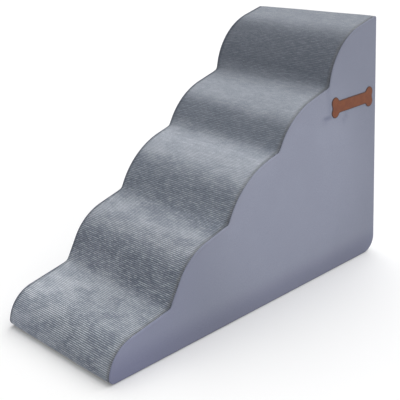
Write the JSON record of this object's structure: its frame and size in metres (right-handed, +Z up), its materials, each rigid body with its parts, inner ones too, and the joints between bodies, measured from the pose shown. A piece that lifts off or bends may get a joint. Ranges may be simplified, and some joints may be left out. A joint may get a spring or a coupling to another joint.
{
  "type": "pet stairs",
  "caption": "Foam pet stairs with five rounded steps, a ribbed plush tread panel, smooth side panels, a bone-shaped label and a zipped back.",
  "frame": {"origin": "middle of the footprint, on the floor, halfway along the length and the width", "axes": "+Y runs up the stairs from the low front edge to the tall back, +Z is up, +X is the right side seen from the front, which carries the bone-shaped label"},
  "size_m": [0.4015, 0.9285, 0.6417],
  "materials": {
    "support_foam": "cut open-cell foam",
    "comfort_foam": "soft open-cell foam",
    "ribbed_plush": "fine-ribbed short-pile plush",
    "smooth_velvet": "smooth short-pile velvet",
    "base_cloth": "plain woven backing cloth",
    "grip_rubber": "soft matt rubber",
    "label_leather": "smooth brown leather-look sheet with a burnished edge",
    "zip_tape": "woven polyester tape",
    "zip_coil": "dyed nylon",
    "zip_metal": "lacquered zinc casting"
  },
  "bodies": {
    "stairs": {"foam_core": "support_foam", "comfort_layer": "comfort_foam", "tread_cover": "ribbed_plush", "side_cover_left": "smooth_velvet", "side_cover_right": "smooth_velvet", "back_cover_left": "smooth_velvet", "back_cover_right": "smooth_velvet", "base_cover": "base_cloth", "grip_dots": "grip_rubber", "bone_label": "label_leather", "zip_tape_left": "zip_tape", "zip_tape_right": "zip_tape", "zip_coil_left": "zip_coil", "zip_coil_right": "zip_coil", "zip_top_stops": "zip_metal", "zip_bottom_stop": "zip_metal"},
    "slider": {"zip_slider": "zip_metal"},
    "pull": {"zip_pull": "zip_metal"}
  },
  "joints": [
    {"name": "zip_slide", "type": "slide", "parent": "stairs", "child": "slider", "axis": [0, 0, -1], "range_m": [0, 0.503]},
    {"name": "pull_hinge", "type": "hinge", "parent": "slider", "child": "pull", "pos_m": [0, 0.4647, 0.5882], "axis": [1, 0, 0], "range_deg": [0, 170]}
  ]
}
